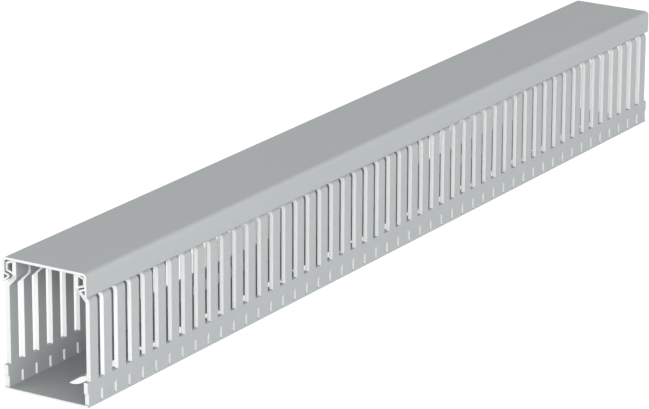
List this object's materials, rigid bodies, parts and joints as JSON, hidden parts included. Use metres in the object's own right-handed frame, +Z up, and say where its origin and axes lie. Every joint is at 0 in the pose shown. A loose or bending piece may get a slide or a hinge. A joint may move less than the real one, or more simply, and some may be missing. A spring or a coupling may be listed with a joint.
{
  "type": "slotted wire duct",
  "caption": "Open-slot wiring duct: a slotted U-shaped trough with hollow finger heads and a clip-on cover, for routing wires in a cabinet.",
  "frame": {"origin": "centre of the underside of the floor, at mid-length and mid-width", "axes": "+Y along the duct, +Z up from the floor to the cover, +X across the duct"},
  "size_m": [0.043, 0.5, 0.059],
  "materials": {
    "trough_pvc": "matte extruded PVC, mid grey",
    "cover_pvc": "matte extruded PVC, mid grey"
  },
  "bodies": {
    "trough": {"trough": "trough_pvc"},
    "cover": {"cover": "cover_pvc"}
  },
  "joints": [
    {"name": "cover_slide", "type": "slide", "parent": "trough", "child": "cover", "axis": [0, 1, 0], "range_m": [0, 0.51]}
  ]
}
